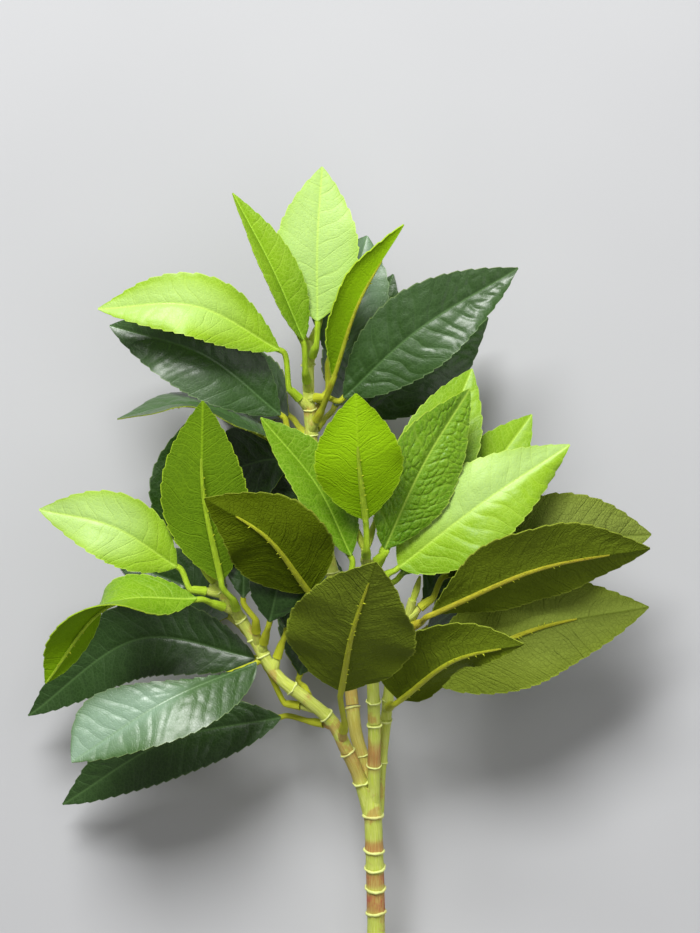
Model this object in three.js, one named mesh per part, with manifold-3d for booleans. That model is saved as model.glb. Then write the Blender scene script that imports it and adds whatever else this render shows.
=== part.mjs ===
// An artificial bay leaf branch lying on a table with its front side up.
// Millimetres, +Z up. +Y runs from the cut end of the stem towards the leafy head.
// Places below are laid out from the cut end, and the last lines move the whole branch so that
// its origin is the middle of its footprint, on the table.

import * as THREE from 'three';
import { mergeVertices } from 'three/addons/utils/BufferGeometryUtils.js';
import Module from 'manifold-3d';

const wasm = await Module();
wasm.setup();

// Driving dimensions of the stems
const TRUNK_RADIUS = 4.1;
const STEM_SIDES = 7;
const PEG_SIDES = 6;
const WIRE_SIDES = 8;
const STUB_RINGS = [0.9];
const OVERLAP = 2;
const RING_PROUD = 0.55;
const RING_HALF = 1.3;
const CORE_PEG = { radius: 1.1, length: 7 };
const CORE_BORE = { radius: 1.5, depth: 8 };
const WIRE = { radius: 1.3, bore: 1.7, length: 120, spare: 0.01 };
const GAP = 0.35;

// Driving dimensions of the leaves
const BLADE_THICK = 0.8;
const TOOTH_PITCH = 13;
const TOOTH_DEPTH = 0.07;
const TOOTH_LEAN = 0.72;
const MID_COLUMN = 0.55;
const RIB = { half: 1.1, proud: 1.1, reach: 0.72, fade: 0.15 };
const LEAF_PEG = { radius: 0.85, length: 4.5, sides: 4 };
const SLEEVE = { radius: 2.0, bore: 1.3, depth: 5.2, neck: 1.25, sides: 5 };
const PEG_LEAN = { least: 42, most: 84 };
const BLADE_END = 0.9;
const FULLNESS = 0.86;
const REST_HEIGHT = 0.75;
const REST_EASE = 2;
const STALK_DROP = 0.3;
const STALK_BITE = 0.7;
const STALK_EASE = 2.5;
const NECK_LENGTH = 1.5;
const EDGE_SAG = 0.4;
const BUD = { stations: [[0, 1.2], [0.45, 1.6], [1, 0.35]], sides: 6 };

const COLOURS = { young: 0x9ccb3b, old: 0x2c5a3a, stem: 0xa3b545, wire: 0x8b8f94 };

// Small helpers
const vec = (place) => new THREE.Vector3(...place);

const finish = (colour, roughness, metalness = 0) =>
  new THREE.MeshStandardMaterial({ color: colour, roughness, metalness });

// A curve through hand-placed points
const pathOf = (places) => new THREE.CatmullRomCurve3(places.map(vec), false, 'centripetal');

// The stretch of a curve between two places, as a curve of its own
class Stretch extends THREE.Curve {
  constructor(curve, from, to) {
    super();
    Object.assign(this, { curve, from, to });
  }

  getPoint(place, target = new THREE.Vector3()) {
    return target.copy(this.curve.getPointAt(THREE.MathUtils.lerp(this.from, this.to, place)));
  }
}

// A leaf's midrib, which eases out flat where it would dip below its resting height on the table
class Midrib extends THREE.CatmullRomCurve3 {
  constructor(...places) {
    super(places.map(vec), false, 'centripetal');
  }

  getPoint(place, target = new THREE.Vector3()) {
    super.getPoint(place, target);
    const above = THREE.MathUtils.clamp(target.z - REST_HEIGHT + REST_EASE, 0, 2 * REST_EASE);
    if (above < 2 * REST_EASE) target.z = REST_HEIGHT + above ** 2 / (4 * REST_EASE);
    return target;
  }
}

// A closed solid from a geometry whose triangles point outwards
function solidOf(geometry) {
  const bare = geometry.clone();
  bare.deleteAttribute('normal');
  bare.deleteAttribute('uv');
  const merged = mergeVertices(bare, 1e-5);
  return new wasm.Manifold(new wasm.Mesh({
    numProp: 3,
    vertProperties: Float32Array.from(merged.attributes.position.array),
    triVerts: Uint32Array.from(merged.index.array),
  }));
}

function geometryOf(solid) {
  const mesh = solid.getMesh();
  const geometry = new THREE.BufferGeometry();
  geometry.setAttribute('position', new THREE.BufferAttribute(mesh.vertProperties, 3));
  geometry.setIndex(new THREE.BufferAttribute(mesh.triVerts, 1));
  geometry.computeVertexNormals();
  return geometry;
}

function indexed(points, triangles) {
  const geometry = new THREE.BufferGeometry();
  const places = points.flatMap((point) => point.toArray());
  geometry.setAttribute('position', new THREE.Float32BufferAttribute(places, 3));
  geometry.setIndex(triangles.flat());
  return geometry;
}

// A closed round tube along a curve. stations holds pairs of place along the curve, 0 to 1, and radius
function tube(curve, stations, sides) {
  const up = new THREE.Vector3(0, 0, 1);
  const points = [];
  const triangles = [];
  stations.forEach(([place, radius]) => {
    const centre = curve.getPointAt(place);
    const along = curve.getTangentAt(place);
    const across = new THREE.Vector3().crossVectors(along, up).normalize();
    const over = new THREE.Vector3().crossVectors(across, along);
    for (let side = 0; side < sides; side += 1) {
      const angle = (2 * Math.PI * side) / sides;
      points.push(centre.clone()
        .addScaledVector(across, radius * Math.cos(angle))
        .addScaledVector(over, radius * Math.sin(angle)));
    }
  });
  for (let row = 0; row < stations.length - 1; row += 1) {
    for (let side = 0; side < sides; side += 1) {
      const a = row * sides + side;
      const b = row * sides + ((side + 1) % sides);
      triangles.push([a, a + sides, b], [b, a + sides, b + sides]);
    }
  }
  const last = (stations.length - 1) * sides;
  for (let side = 1; side < sides - 1; side += 1) {
    triangles.push([0, side, side + 1], [last, last + side + 1, last + side]);
  }
  return solidOf(indexed(points, triangles));
}

// A straight rod between two points
const rod = (from, to, radius, sides) =>
  tube(new THREE.LineCurve3(from, to), [[0, radius], [1, radius]], sides);

// A stem whose radius eases from root to tip, with a raised collar at each ring place
function ringedStem(curve, root, tip, rings, steps) {
  const half = RING_HALF / curve.getLength();
  const radiusAt = (place) => root + (tip - root) * place;
  const stations = [];
  for (let step = 0; step <= steps; step += 1) {
    const place = step / steps;
    if (rings.every((ring) => Math.abs(ring - place) > 2.2 * half)) {
      stations.push([place, radiusAt(place)]);
    }
  }
  rings.forEach((ring) => {
    stations.push([ring - half, radiusAt(ring)], [ring + 0.6 * half, radiusAt(ring) + RING_PROUD],
      [ring + half, radiusAt(ring)]);
  });
  stations.sort((a, b) => a[0] - b[0]);
  return tube(curve, stations, STEM_SIDES);
}

// The trunk, from its cut end on the table to the fork, and the places of its ring collars
const TRUNK_PATH = [[0, 0, 3.87], [0, 50, 17], [0, 100, 32], [-1, 135, 43], [-2, 158, 50]];
const TRUNK_RINGS = [0.07, 0.19, 0.31, 0.43, 0.54, 0.64, 0.71, 0.77, 0.82, 0.92];

// Each spray stem starts inside the trunk and runs to its tip. The part before joint, a place from
// 0 to 1 along the path, is moulded with the trunk, and the rest is pushed over a peg on its end
const SPRAYS = {
  front: {
    path: [[-1, 145, 46], [-1, 166, 54], [-1, 186, 62], [-2, 210, 71], [-4, 238, 83], [-5, 262, 95]],
    joint: 0.35, root: 2.9, tip: 2.0, rings: [0.12, 0.34, 0.55, 0.76],
    buds: [[-9, 272, 97], [-1, 274, 93]],
  },
  right: {
    path: [[1, 145, 42], [2, 166, 46], [4, 186, 51], [6, 205, 60], [10, 222, 70], [15, 240, 78]],
    joint: 0.42, root: 2.5, tip: 1.9, rings: [0.15, 0.42, 0.7],
    buds: [[18, 250, 81]],
  },
  left: {
    path: [[-2, 142, 44], [-7, 161, 50], [-13, 175, 56], [-19, 187, 61], [-30, 197, 65], [-42, 207, 68],
      [-52, 223, 71], [-62, 238, 75], [-69, 247, 78]],
    joint: 0.27, root: 3.1, tip: 2.4, rings: [0.2, 0.4, 0.6, 0.69, 0.79, 0.88, 0.95],
    buds: [[-75, 256, 83], [-70, 258, 83]],
  },
  top: {
    path: [[-2, 145, 44], [-5, 166, 46], [-9, 182, 46], [-11, 200, 44], [-14, 225, 43], [-21, 260, 46],
      [-27, 300, 54], [-29, 328, 62], [-29, 350, 69]],
    joint: 0.23, root: 3.0, tip: 2.6, rings: [0.06, 0.2, 0.36, 0.52, 0.67, 0.74, 0.81, 0.93],
    buds: [[-35, 356, 78], [-23, 359, 80]],
  },
};

// The leaves. at is the place of the leaf's peg along its spray's own stem, 0 to 1. base, mid and tip
// are points of the midrib, from the blade's foot to its point, and belly is the place of the widest
// part. turn is how far the upper face is rolled away from straight up, in degrees, towards the leaf's
// right; 180 shows the underside. twist is the extra roll gained from foot to tip. fold is how far
// each half is folded up from flat, in degrees. left, where given, narrows the left half, and skew
// moves the widest part towards the tip on the right half and towards the foot on the left.
const LEAF_COLUMNS = ['name', 'age', 'at', 'base', 'mid', 'tip', 'width', 'belly', 'turn', 'twist', 'fold',
  'left', 'skew'];
const LEAVES = {
  top: [
    ['top_01', 'young', 0.93, [-25, 357, 82], [-25, 389, 88], [-23, 421, 88], 35, 0.46, 0, 8, 8],
    ['top_02', 'young', 0.86, [-31, 349, 82], [-44, 379, 92], [-60, 409, 98], 26, 0.42, 30, 0, 48],
    ['top_03', 'young', 0.75, [-19, 334, 80], [-8, 365, 94], [11, 396, 98], 30, 0.5, -102, 0, 56],
    ['top_04', 'young', 0.81, [-41, 345, 75], [-76, 363, 86], [-117, 362, 82], 28, 0.48, 8, 10, 14],
    ['top_05', 'old', 0.68, [-41, 318, 60], [-73, 343, 66], [-114, 356, 60], 37, 0.48, 4, 0, 12],
    ['top_06', 'old', 0.62, [-40, 306, 60], [-78, 322, 72], [-110, 316, 68], 32, 0.5, 74, 0, 14],
    ['top_07', 'old', 0.84, [-14, 325, 74], [17, 353, 84], [59, 379, 84], 36, 0.46, 8, 10, 12],
    ['top_08', 'old', 0.68, [-10, 316, 50], [22, 341, 42], [49, 361, 30], 37, 0.5, 25, 0, 10],
    ['top_09', 'old', 0.78, [-20, 342, 60], [-12, 368, 60], [-4, 395, 52], 34, 0.5, 6, 0, 10],
    ['top_10', 'old', 0.74, [-18, 322, 42], [-4, 352, 0], [8, 382, -5], 34, 0.5, 0, 0, 10],
    ['top_11', 'old', 0.72, [-38, 318, 40], [-62, 334, 0], [-94, 344, -5], 34, 0.5, 0, 0, 10],
    ['top_12', 'old', 0.6, [-36, 300, 38], [-52, 298, 29], [-74, 290, 16], 36, 0.5, 0, 0, 10],
    ['top_13', 'old', 0.45, [-26, 270, 40], [-32, 284, 24], [-36, 301, 8], 30, 0.5, 0, 0, 10],
  ],
  front: [
    ['front_01', 'young', 0.93, [-5, 274, 110], [-8, 300, 128], [-9, 325, 138], 37, 0.46, 180, 0, 12],
    ['front_02', 'young', 0.68, [-11, 259, 97], [-25, 288, 101], [-48, 316, 108], 32, 0.46, 20, 0, 40],
    ['front_03', 'young', 0.87, [3, 262, 97], [19, 297, 103], [38, 328, 101], 35, 0.44, 24, 0, 10],
    ['front_04', 'young', 0.78, [9, 254, 90], [45, 282, 96], [80, 305, 92], 38, 0.4, -6, 0, 12],
    ['front_05', 'old', 0.62, [-28, 244, 96], [-46, 268, 118], [-70, 283, 127], 44, 0.38, 162, 0, 16],
    ['front_07', 'young', 0.7, [10, 250, 76], [40, 284, 74], [66, 318, 64], 34, 0.5, 0, 0, 12],
    ['front_08', 'young', 0.79, [7, 267, 87], [25, 302, 84], [40, 337, 78], 34, 0.5, 0, 0, 12],
  ],
  right: [
    ['right_01', 'old', 0.08, [9, 198, 80], [32, 217, 108], [59, 224, 124], 50, 0.3, 210, 0, 24, 0.5],
    ['right_02', 'old', 0.74, [23, 235, 88], [67, 254, 98], [113, 262, 96], 44, 0.48, 222, 0, 12],
    ['right_03', 'old', 0.3, [22, 206, 66], [67, 227, 70], [116, 236, 62], 46, 0.42, 180, 0, 10],
    ['right_04', 'old', 0.86, [30, 250, 78], [75, 265, 76], [117, 267, 62], 40, 0.5, 0, 0, 10],
    ['right_05', 'old', 0.5, [22, 226, 50], [56, 243, 0], [98, 252, -5], 36, 0.5, 0, 0, 10],
    ['right_06', 'old', 0.62, [20, 238, 60], [44, 268, 38], [70, 298, 12], 36, 0.5, 0, 0, 10],
  ],
  left: [
    ['front_06', 'old', 0.06, [-15, 202, 86], [-10, 230, 121], [-1, 258, 148], 54, 0.44, 180, 0, 8],
    ['left_01', 'young', 0.8, [-65, 248, 88], [-72, 286, 98], [-72, 323, 104], 37, 0.46, 180, 0, 12],
    ['left_02', 'young', 0.94, [-84, 254, 84], [-110, 271, 92], [-141, 278, 88], 30, 0.44, 0, 0, 10],
    ['left_03', 'young', 0.84, [-75, 241, 90], [-111, 239, 104], [-138, 206, 92], 34, 0.5, 88, 112, 14],
    ['left_04', 'old', 0.25, [-51, 213, 71], [-88, 198, 83], [-128, 172, 82], 37, 0.58, 18, 0, 10, 1, 0.18],
    ['left_05', 'old', 0.42, [-52, 214, 58], [-101, 222, 52], [-152, 187, 30], 34, 0.42, 0, 0, 10],
    ['left_06', 'old', 0.14, [-41, 188, 50], [-90, 177, 40], [-138, 147, 20], 33, 0.45, 0, 0, 10],
    ['left_07', 'old', 0.62, [-45, 231, 84], [-41, 248, 91], [-38, 264, 88], 24, 0.5, 0, 0, 10],
    ['left_08', 'old', 0.66, [-56, 241, 83], [-56, 254, 84], [-57, 266, 80], 14, 0.5, 0, 0, 10],
    ['left_09', 'old', 0.9, [-74, 256, 70], [-79, 284, 75], [-80, 314, 84], 34, 0.5, 0, 0, 10],
    ['left_10', 'old', 0.52, [-38, 228, 75], [-36, 240, 73], [-34, 254, 66], 18, 0.5, 0, 0, 10],
    ['left_11', 'old', 0.7, [-64, 231, 46], [-86, 243, 0], [-116, 254, -5], 36, 0.5, 0, 0, 10],
    ['left_12', 'old', 0.3, [-33, 206, 48], [-26, 232, 22], [-20, 258, 8], 34, 0.5, 0, 0, 10],
  ],
};

// The width of one half of the blade at a place along it. hand is 1 for the right half, -1 for the left
const halfWidth = (place, leaf, hand = 0) => {
  const belly = leaf.belly + hand * (leaf.skew ?? 0);
  const swell = Math.sin(Math.PI * place ** (Math.log(0.5) / Math.log(belly)));
  return Math.max(BLADE_END / 2, (leaf.width / 2) * Math.max(swell, 0) ** FULLNESS);
};

// The leaf's own frame at a place along its midrib
function leafFrame(midrib, place, leaf) {
  const along = midrib.getTangentAt(place);
  const side = new THREE.Vector3().crossVectors(along, new THREE.Vector3(0, 0, 1)).normalize();
  const face = new THREE.Vector3().crossVectors(side, along);
  const gained = THREE.MathUtils.smoothstep(place, 0, 1) - 0.5;
  const roll = THREE.MathUtils.degToRad(leaf.turn + leaf.twist * gained);
  side.applyAxisAngle(along, roll);
  face.applyAxisAngle(along, roll);
  return { centre: midrib.getPointAt(place), along, side, face };
}

// A thin blade with cut edges and a raised rib below, split alike on both faces
function blade(leaf, midrib) {
  const teeth = Math.max(3, Math.round(midrib.getLength() / TOOTH_PITCH));
  const slope = THREE.MathUtils.degToRad(leaf.fold);
  const points = [];
  const skinPoint = (place, share, level, cut = 0) => {
    const { centre, side, face } = leafFrame(midrib, place, leaf);
    const half = halfWidth(place, leaf, Math.sign(share)) * (share < 0 ? leaf.left ?? 1 : 1);
    const out = half * (1 - cut) * share;
    const lift = Math.abs(out) * Math.sin(slope) * (1 - EDGE_SAG * Math.abs(share));
    points.push(centre.addScaledVector(side, out * Math.cos(slope)).addScaledVector(face, lift + level));
    return points.length - 1;
  };
  const skinRow = (row, level) => {
    const place = row / teeth;
    const wing = (side) => ({
      middle: skinPoint(place, side * MID_COLUMN, level),
      notch: skinPoint(place, side, level, row % teeth === 0 ? 0 : TOOTH_DEPTH),
      tooth: row < teeth ? skinPoint(place + TOOTH_LEAN / teeth, side, level, -TOOTH_DEPTH / 3) : null,
    });
    return { left: wing(-1), right: wing(1) };
  };
  const rows = [];
  for (let row = 0; row <= teeth; row += 1) {
    const place = row / teeth;
    const ribShare = Math.min(RIB.half / halfWidth(place, leaf), MID_COLUMN / 2);
    const proud = place < RIB.reach ? RIB.proud * (1 - 0.5 * place) : RIB.fade;
    rows.push({
      upper: skinRow(row, BLADE_THICK / 2),
      lower: skinRow(row, -BLADE_THICK / 2),
      groove: skinPoint(place, 0, BLADE_THICK / 2),
      crest: skinPoint(place, 0, -BLADE_THICK / 2 - proud),
      left: skinPoint(place, -ribShare, -BLADE_THICK / 2),
      right: skinPoint(place, ribShare, -BLADE_THICK / 2),
    });
  }
  const triangles = [];
  const put = (flip, ...patches) => patches.forEach(([a, b, c]) => {
    triangles.push(flip ? [a, c, b] : [a, b, c]);
  });
  const wingPatch = (flip, inner, innerNext, near, far) => put(flip,
    [inner, near.middle, far.middle], [inner, far.middle, innerNext],
    [near.middle, near.notch, near.tooth], [near.middle, near.tooth, far.middle],
    [far.middle, near.tooth, far.notch]);
  const rim = (flip, top, under, topNext, underNext) => put(flip,
    [top.notch, under.notch, top.tooth], [top.tooth, under.notch, under.tooth],
    [top.tooth, under.tooth, topNext.notch], [topNext.notch, under.tooth, underNext.notch]);
  for (let row = 0; row < teeth; row += 1) {
    const near = rows[row];
    const far = rows[row + 1];
    ['left', 'right'].forEach((side) => {
      const flip = side === 'left';
      wingPatch(flip, near.groove, far.groove, near.upper[side], far.upper[side]);
      wingPatch(!flip, near[side], far[side], near.lower[side], far.lower[side]);
      put(!flip, [near.crest, near[side], far[side]], [near.crest, far[side], far.crest]);
      rim(flip, near.upper[side], near.lower[side], far.upper[side], far.lower[side]);
    });
  }
  [[rows[0], false], [rows[teeth], true]].forEach(([end, flip]) => {
    const { upper, lower } = end;
    const loop = [upper.left.middle, lower.left.middle, end.left, end.crest, end.right,
      lower.right.middle, upper.right.middle];
    for (let step = 0; step < loop.length - 1; step += 1) put(flip, [end.groove, loop[step], loop[step + 1]]);
    put(flip, [upper.left.middle, upper.left.notch, lower.left.notch],
      [upper.left.middle, lower.left.notch, lower.left.middle],
      [upper.right.middle, lower.right.notch, upper.right.notch],
      [upper.right.middle, lower.right.middle, lower.right.notch]);
  });
  return solidOf(indexed(points, triangles));
}

// Where a leaf's peg stands on its spray, and which way it points
function pegOf(leaf, curve, spray) {
  const foot = curve.getPointAt(leaf.at);
  const along = curve.getTangentAt(leaf.at);
  const reach = vec(leaf.base).sub(foot);
  const out = reach.clone().addScaledVector(along, -reach.dot(along)).normalize();
  const straight = THREE.MathUtils.radToDeg(reach.angleTo(along));
  const lean = THREE.MathUtils.clamp(straight, PEG_LEAN.least, PEG_LEAN.most);
  const angle = THREE.MathUtils.degToRad(lean);
  const aim = out.multiplyScalar(Math.sin(angle)).addScaledVector(along, Math.cos(angle)).normalize();
  const radius = spray.root + (spray.tip - spray.root) * leaf.at;
  const start = (radius + RING_PROUD + GAP + SLEEVE.radius * Math.cos(angle)) / Math.sin(angle);
  return { foot, aim, start };
}

// The space below the table's top. A leaf that presses on the table is flattened by it
const table = solidOf(new THREE.BoxGeometry(900, 900, 20).translate(0, 0, -10));

// One leaf: its blade with the rib, and a petiole whose sleeve is bored for the peg
function leafSolid(leaf, peg) {
  const midrib = new Midrib(leaf.base, leaf.mid, leaf.tip);
  const onPeg = (distance) => peg.foot.clone().addScaledVector(peg.aim, peg.start + distance);
  const foot = leafFrame(midrib, 0, leaf);
  foot.centre.addScaledVector(foot.face, -STALK_DROP);
  const alongFoot = (distance) => foot.centre.clone().addScaledVector(foot.along, distance);
  const route = new THREE.CatmullRomCurve3(
    [onPeg(0), onPeg(SLEEVE.depth / 2), onPeg(SLEEVE.depth), onPeg(SLEEVE.depth + NECK_LENGTH),
      alongFoot(-STALK_EASE), alongFoot(STALK_BITE)], false, 'centripetal');
  const length = route.getLength();
  const stalk = tube(route, [[0, SLEEVE.radius], [SLEEVE.depth / length, SLEEVE.radius * 0.93],
    [(SLEEVE.depth + NECK_LENGTH) / length, SLEEVE.neck], [1, SLEEVE.neck]], SLEEVE.sides);
  const bore = rod(onPeg(-1), onPeg(SLEEVE.depth), SLEEVE.bore, SLEEVE.sides);
  return blade(leaf, midrib).add(stalk).subtract(bore).subtract(table);
}

// A slim closed bud at the end of a spray
function bud(from, to) {
  return tube(new THREE.LineCurve3(from, to), BUD.stations, BUD.sides);
}

// Build every node
const branch = new THREE.Group();
branch.name = 'bay_leaf_branch';

function addMesh(name, solid, material) {
  const mesh = new THREE.Mesh(geometryOf(solid), material);
  mesh.name = name;
  branch.add(mesh);
}

const trunkCurve = pathOf(TRUNK_PATH);
let trunk = ringedStem(trunkCurve, TRUNK_RADIUS, TRUNK_RADIUS, TRUNK_RINGS, 9);

Object.entries(SPRAYS).forEach(([sprayName, spray]) => {
  const curve = pathOf(spray.path);
  const joint = curve.getPointAt(spray.joint);
  const along = curve.getTangentAt(spray.joint);
  const onCore = (distance) => joint.clone().addScaledVector(along, distance);
  const stub = new Stretch(curve, 0, spray.joint);
  trunk = trunk.add(ringedStem(stub, spray.root, spray.root, STUB_RINGS, 6));
  trunk = trunk.add(rod(onCore(-OVERLAP), onCore(CORE_PEG.length), CORE_PEG.radius, PEG_SIDES));

  const stemCurve = new Stretch(curve, spray.joint + GAP / curve.getLength(), 1);
  let stem = ringedStem(stemCurve, spray.root, spray.tip, spray.rings, 7);
  const tip = stemCurve.getPointAt(1).addScaledVector(stemCurve.getTangentAt(1), -OVERLAP);
  spray.buds.forEach((place) => { stem = stem.add(bud(tip, vec(place))); });
  LEAVES[sprayName].forEach((row) => {
    const leaf = Object.fromEntries(LEAF_COLUMNS.map((column, index) => [column, row[index]]));
    const peg = pegOf(leaf, stemCurve, spray);
    const pegEnd = peg.foot.clone().addScaledVector(peg.aim, peg.start + LEAF_PEG.length);
    stem = stem.add(rod(peg.foot, pegEnd, LEAF_PEG.radius, LEAF_PEG.sides));
    addMesh(`leaf_${leaf.name}`, leafSolid(leaf, peg), finish(COLOURS[leaf.age], 0.5));
  });
  const coreBore = rod(onCore(-OVERLAP), onCore(CORE_BORE.depth), CORE_BORE.radius, PEG_SIDES);
  addMesh(`spray_${sprayName}`, stem.subtract(coreBore), finish(COLOURS.stem, 0.55));
});

const cutEnd = trunkCurve.getPointAt(0);
const wireCurve = pathOf(TRUNK_PATH);
const wireShare = WIRE.length / wireCurve.getLength();
const wireStations = [0, 0.2, 0.4, 0.6, 0.8, 1].map((share) => share * wireShare);
const boreStations = [...wireStations, wireShare + WIRE.spare];
const bore = tube(wireCurve, boreStations.map((place) => [place, WIRE.bore]), WIRE_SIDES);
const outside = cutEnd.clone().addScaledVector(trunkCurve.getTangentAt(0), -1);
const mouth = rod(outside, cutEnd, WIRE.bore, WIRE_SIDES);
addMesh('stem_main', trunk.subtract(bore).subtract(mouth), finish(COLOURS.stem, 0.55));
addMesh('stem_wire', tube(wireCurve, wireStations.map((place) => [place, WIRE.radius]), WIRE_SIDES),
  finish(COLOURS.wire, 0.35, 1));

// The origin goes to the middle of the footprint, on the table
const bounds = new THREE.Box3().setFromObject(branch);
const centre = bounds.getCenter(new THREE.Vector3());
branch.position.set(-centre.x, -centre.y, -bounds.min.z);
branch.updateMatrixWorld(true);

export default branch;
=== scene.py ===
# Looks of an artificial bay leaf branch that lies on a table with its front side up. Metres, +Z up.
import math

import bpy
import numpy as np
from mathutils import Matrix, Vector


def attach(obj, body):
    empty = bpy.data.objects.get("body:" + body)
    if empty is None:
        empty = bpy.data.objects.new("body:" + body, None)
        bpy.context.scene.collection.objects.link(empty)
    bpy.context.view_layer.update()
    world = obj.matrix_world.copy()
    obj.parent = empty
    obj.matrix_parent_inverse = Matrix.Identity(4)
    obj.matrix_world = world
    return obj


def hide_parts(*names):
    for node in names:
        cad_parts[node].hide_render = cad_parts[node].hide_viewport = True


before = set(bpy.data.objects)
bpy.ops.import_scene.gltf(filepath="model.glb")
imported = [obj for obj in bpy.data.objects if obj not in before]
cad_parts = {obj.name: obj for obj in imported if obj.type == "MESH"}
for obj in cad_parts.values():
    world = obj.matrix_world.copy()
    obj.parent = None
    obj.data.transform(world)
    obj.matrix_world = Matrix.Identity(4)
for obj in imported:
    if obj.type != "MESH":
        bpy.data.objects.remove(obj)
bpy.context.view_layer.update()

# The tables below are in millimetres, laid out from the cut end of the stem. SHIFT moves that layout
# to the branch's own frame
MILLIMETRE = 0.001
SHIFT = np.array([17.61, -210.01, 0.0])
UP = np.array([0.0, 0.0, 1.0])

# Sizes that the solids share
TRUNK_RADIUS = 4.1
RING_PROUD = 0.55
GAP = 0.35
SLEEVE_RADIUS = 2.0
SLEEVE_DEPTH = 5.2
NECK_RADIUS = 1.25
PEG_RADIUS = 0.85
PEG_LENGTH = 4.5
PEG_LEAN_LEAST = 42
PEG_LEAN_MOST = 84
WIRE_BORE = 1.7
BLADE_END = 0.9
FULLNESS = 0.86
REST_HEIGHT = 0.75
REST_EASE = 2.0

# Fine sizes of the leaves
SHEET = 0.5
TOOTH_PITCH = 5.6
TOOTH_DEPTH = 0.75
TOOTH_STEPS = 6
HALF_COLUMNS = 19
VEIN_PITCH = 7.0
VEIN_SLANT = 0.52
VEIN_BEND = 0.011
CELL_ACROSS = 4.4
UV_SPAN = 120.0
TABLE_CLEAR = 0.12
MIDRIB_DIP = 0.35
BARB_PITCH = 3.4
RIB_SINK = 0.2
ROUNDNESS = 0.94

# Curves: steps between two given points, and points of a cut piece of a curve
CURVE_STEPS = 160
STRETCH_POINTS = 300

# Angles in degrees past which an edge shows, and sides of each round piece
BLADE_EDGE = 55
TUBE_EDGE = 50
TRUNK_SIDES = 28
STEM_SIDES = 22
PEG_SIDES = 16
STALK_SIDES = 14
BUD_SIDES = 14

# Random draws: one row for the stems, and a hundred for the leaves of each spray
STEM_SEED = 11
SEEDS_A_SPRAY = 100

# The camera looks straight down from CAMERA_PLACE, in layout millimetres
LENS_LENGTH = 110.25
SENSOR_WIDTH = 36
CAMERA_PLACE = np.array([-11.34, 295.93, 1280.0])

# Soft lights in metres and watts, and the place that they look at
LIT_PLACE = (0.0, 0.08, 0.06)
LIGHTS = [
    {"name": "window", "place": (-0.25, 1.0, 1.3), "power": 34.0, "width": 0.6},
    {"name": "ceiling", "place": (0.3, 0.1, 1.9), "power": 5.0, "width": 1.2},
    {"name": "side", "place": (1.3, -0.4, 0.7), "power": 3.0, "width": 0.9},
]
ROOM_GLOW = 0.16

TRUNK_PATH = [[0, 0, 3.87], [0, 50, 17], [0, 100, 32], [-1, 135, 43], [-2, 158, 50]]
TRUNK_RINGS = [0.07, 0.19, 0.31, 0.43, 0.54, 0.64, 0.71, 0.77, 0.82, 0.92]

SPRAYS = {
    "front": {
        "path": [[-1, 145, 46], [-1, 166, 54], [-1, 186, 62], [-2, 210, 71], [-4, 238, 83],
                 [-5, 262, 95]],
        "joint": 0.35, "root": 2.9, "tip": 2.0, "rings": [0.12, 0.34, 0.55, 0.76],
        "buds": [[-9, 272, 97], [-1, 274, 93]],
    },
    "right": {
        "path": [[1, 145, 42], [2, 166, 46], [4, 186, 51], [6, 205, 60], [10, 222, 70],
                 [15, 240, 78]],
        "joint": 0.42, "root": 2.5, "tip": 1.9, "rings": [0.15, 0.42, 0.7],
        "buds": [[18, 250, 81]],
    },
    "left": {
        "path": [[-2, 142, 44], [-7, 161, 50], [-13, 175, 56], [-19, 187, 61], [-30, 197, 65],
                 [-42, 207, 68], [-52, 223, 71], [-62, 238, 75], [-69, 247, 78]],
        "joint": 0.27, "root": 3.1, "tip": 2.4,
        "rings": [0.2, 0.4, 0.6, 0.69, 0.79, 0.88, 0.95],
        "buds": [[-75, 256, 83], [-70, 258, 83]],
    },
    "top": {
        "path": [[-2, 145, 44], [-5, 166, 46], [-9, 182, 46], [-11, 200, 44], [-14, 225, 43],
                 [-21, 260, 46], [-27, 300, 54], [-29, 328, 62], [-29, 350, 69]],
        "joint": 0.23, "root": 3.0, "tip": 2.6,
        "rings": [0.06, 0.2, 0.36, 0.52, 0.67, 0.74, 0.81, 0.93],
        "buds": [[-35, 356, 78], [-23, 359, 80]],
    },
}

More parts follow.
